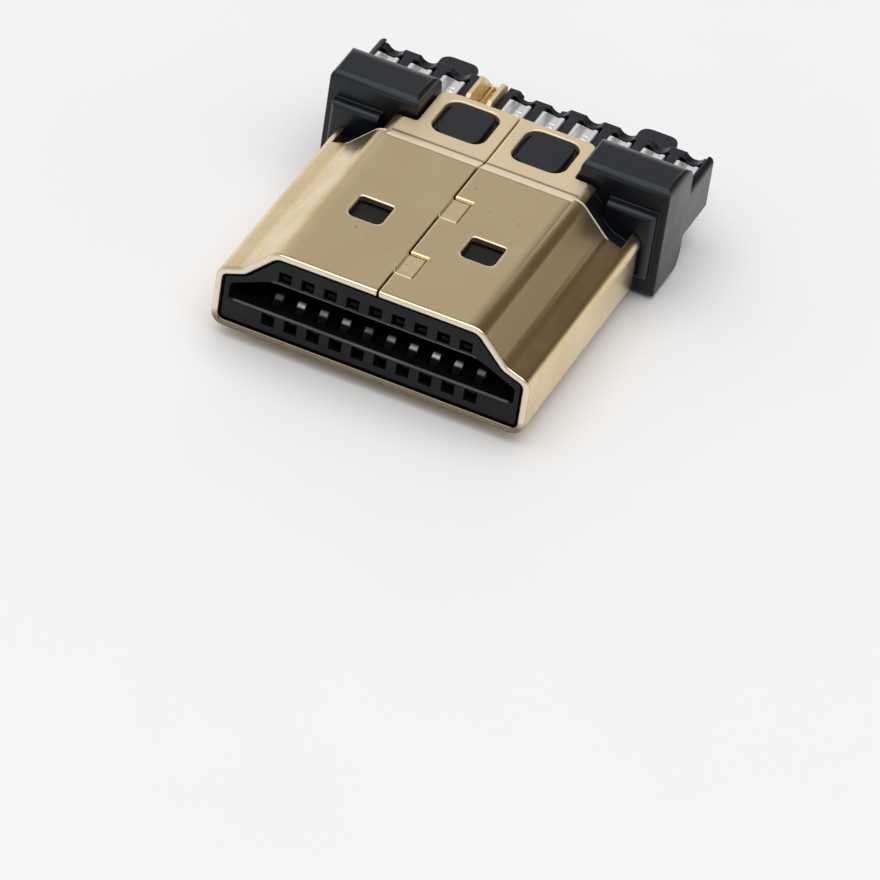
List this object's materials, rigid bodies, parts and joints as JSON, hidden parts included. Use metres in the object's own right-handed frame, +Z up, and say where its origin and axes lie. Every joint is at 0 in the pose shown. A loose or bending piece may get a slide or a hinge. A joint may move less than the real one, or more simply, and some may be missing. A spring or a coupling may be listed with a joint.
{
  "type": "solder-type cable plug",
  "caption": "Solder-type digital video cable plug: folded gold-plated shell, black mating insulator, sprung contacts and a rear block with open solder cups.",
  "frame": {"origin": "under the middle of the plug's box, at the height of the ears' lower faces", "axes": "+Z up to the seamed narrow side, +X across the plug, +Y from the mating face back to the solder cups"},
  "size_m": [0.0154, 0.0194, 0.0055],
  "materials": {
    "gold_plate": "satin gold plating on pressed sheet",
    "black_plastic": "fine matt moulding",
    "tinned_metal": "bright tin plating"
  },
  "bodies": {
    "root": {"shell": "gold_plate", "front_insulator": "black_plastic", "rear_block": "black_plastic", "upper_contact_1": "tinned_metal", "upper_contact_2": "tinned_metal", "upper_contact_3": "tinned_metal", "upper_contact_4": "tinned_metal", "upper_contact_5": "tinned_metal", "upper_contact_6": "tinned_metal", "upper_contact_7": "tinned_metal", "upper_contact_8": "tinned_metal", "upper_contact_9": "tinned_metal", "lower_contact_1": "tinned_metal", "lower_contact_2": "tinned_metal", "lower_contact_3": "tinned_metal", "lower_contact_4": "tinned_metal", "lower_contact_5": "tinned_metal", "lower_contact_6": "tinned_metal", "lower_contact_7": "tinned_metal", "lower_contact_8": "tinned_metal", "lower_contact_9": "tinned_metal", "lower_contact_10": "tinned_metal"}
  },
  "joints": []
}
